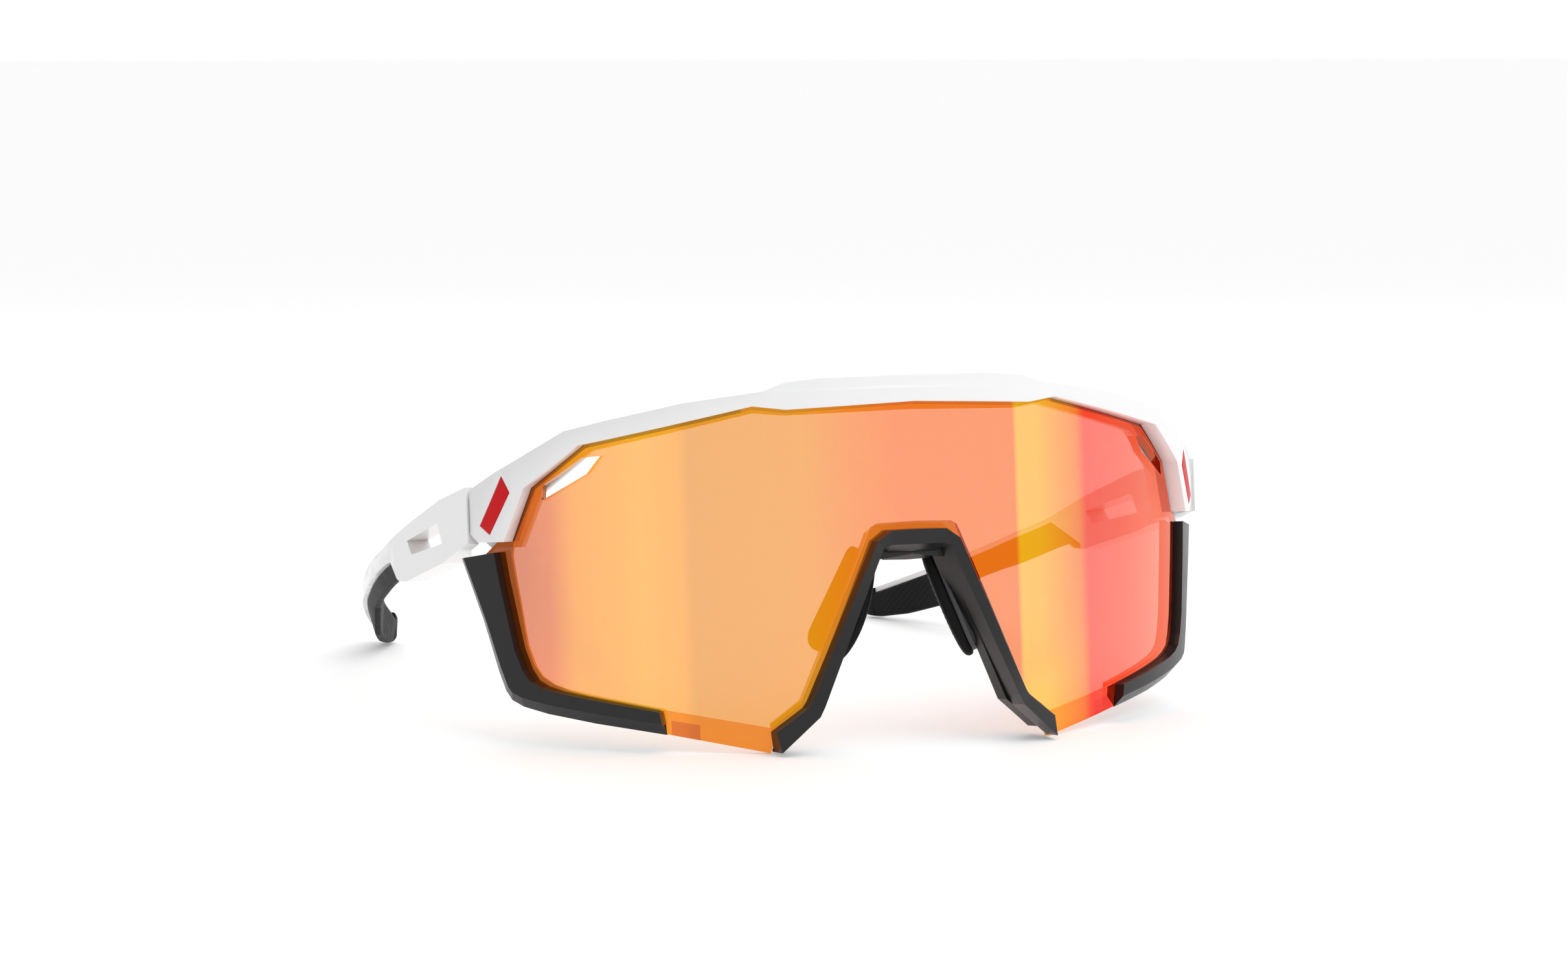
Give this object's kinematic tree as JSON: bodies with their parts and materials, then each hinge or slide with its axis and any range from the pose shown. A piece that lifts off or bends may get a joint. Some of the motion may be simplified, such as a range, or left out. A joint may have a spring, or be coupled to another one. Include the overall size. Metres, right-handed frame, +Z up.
{
  "type": "wraparound sport sunglasses",
  "caption": "Wraparound sport sunglasses: half frame over one curved mirrored shield lens, clip-on lower rims and nose bridge with soft pads, and folding arms with soft tips.",
  "frame": {"origin": "centre of the bounding box in plan, on the table the glasses stand on", "axes": "+Z up, +Y from the lens back along the arms, +X to the wearer's left, which is the right of the picture; lens front faces -Y"},
  "size_m": [0.1454, 0.1628, 0.0665],
  "materials": {
    "frame_white": "gloss",
    "lens_orange_mirror": "mirror coated, see-through",
    "rim_black": "satin",
    "soft_black": "soft matte",
    "stiff_insert": "matte",
    "core_wire": "drawn wire",
    "screw_steel": "satin",
    "bush_metal": "turned",
    "badge_red": "gloss"
  },
  "bodies": {
    "frame": {"brow_frame": "frame_white", "badge_left": "badge_red", "badge_right": "badge_red", "hinge_screw_left": "screw_steel", "hinge_screw_right": "screw_steel"},
    "lens": {"shield_lens": "lens_orange_mirror"},
    "rim_right": {"lower_rim_right": "rim_black"},
    "rim_left": {"lower_rim_left": "rim_black"},
    "nose": {"nose_bridge": "rim_black", "nose_pad_left": "soft_black", "nose_pad_right": "soft_black", "nose_pad_plate_left": "stiff_insert", "nose_pad_plate_right": "stiff_insert"},
    "arm_right": {"temple_right": "frame_white", "temple_sleeve_right": "soft_black", "temple_core_right": "core_wire", "hinge_bush_right": "bush_metal"},
    "arm_left": {"temple_left": "frame_white", "temple_sleeve_left": "soft_black", "temple_core_left": "core_wire", "hinge_bush_left": "bush_metal"}
  },
  "joints": [
    {"name": "arm_right_fold", "type": "hinge", "parent": "frame", "child": "arm_right", "pos_m": [0.0673, -0.03602, 0.04026], "axis": [0, 0.0996, 0.995], "range_deg": [0, 82]},
    {"name": "arm_left_fold", "type": "hinge", "parent": "frame", "child": "arm_left", "pos_m": [-0.0673, -0.03602, 0.04026], "axis": [0, -0.0996, -0.995], "range_deg": [0, 88]},
    {"name": "lens_release", "type": "slide", "parent": "frame", "child": "lens", "axis": [0, -0.0996, -0.995], "range_m": [0, 0.03]},
    {"name": "nose_release", "type": "slide", "parent": "lens", "child": "nose", "axis": [0, -0.0996, -0.995], "range_m": [0, 0.03]},
    {"name": "rim_right_release", "type": "slide", "parent": "lens", "child": "rim_right", "axis": [0, -0.0996, -0.995], "range_m": [0, 0.012]},
    {"name": "rim_left_release", "type": "slide", "parent": "lens", "child": "rim_left", "axis": [0, -0.0996, -0.995], "range_m": [0, 0.012]}
  ]
}
